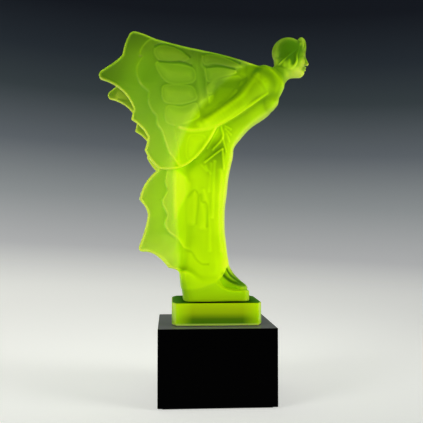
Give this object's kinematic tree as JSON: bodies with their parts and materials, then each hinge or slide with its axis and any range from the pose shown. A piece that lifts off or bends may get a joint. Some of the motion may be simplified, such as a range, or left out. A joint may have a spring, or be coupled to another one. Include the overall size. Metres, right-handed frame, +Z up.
{
  "type": "car mascot on display plinth",
  "caption": "Free-standing hood ornament in moulded green glass: a leaning robed figure with swept-back wings, bonded to a glass tablet on a square black plinth.",
  "frame": {"origin": "middle of the felt sheet's underside, on the surface the piece stands on", "axes": "+X the way the figure faces, +Y towards its left wing, +Z up"},
  "size_m": [0.149, 0.08, 0.2611],
  "materials": {
    "black_felt": "short pressed felt",
    "black_glass": "polished",
    "clear_adhesive": "cured clear film",
    "green_glass": "acid-frosted satin, translucent"
  },
  "bodies": {
    "root": {"felt_base": "black_felt", "black_plinth": "black_glass", "tablet_bond": "clear_adhesive", "glass_tablet": "green_glass", "figure_bond": "clear_adhesive", "figure_casting": "green_glass"}
  },
  "joints": []
}
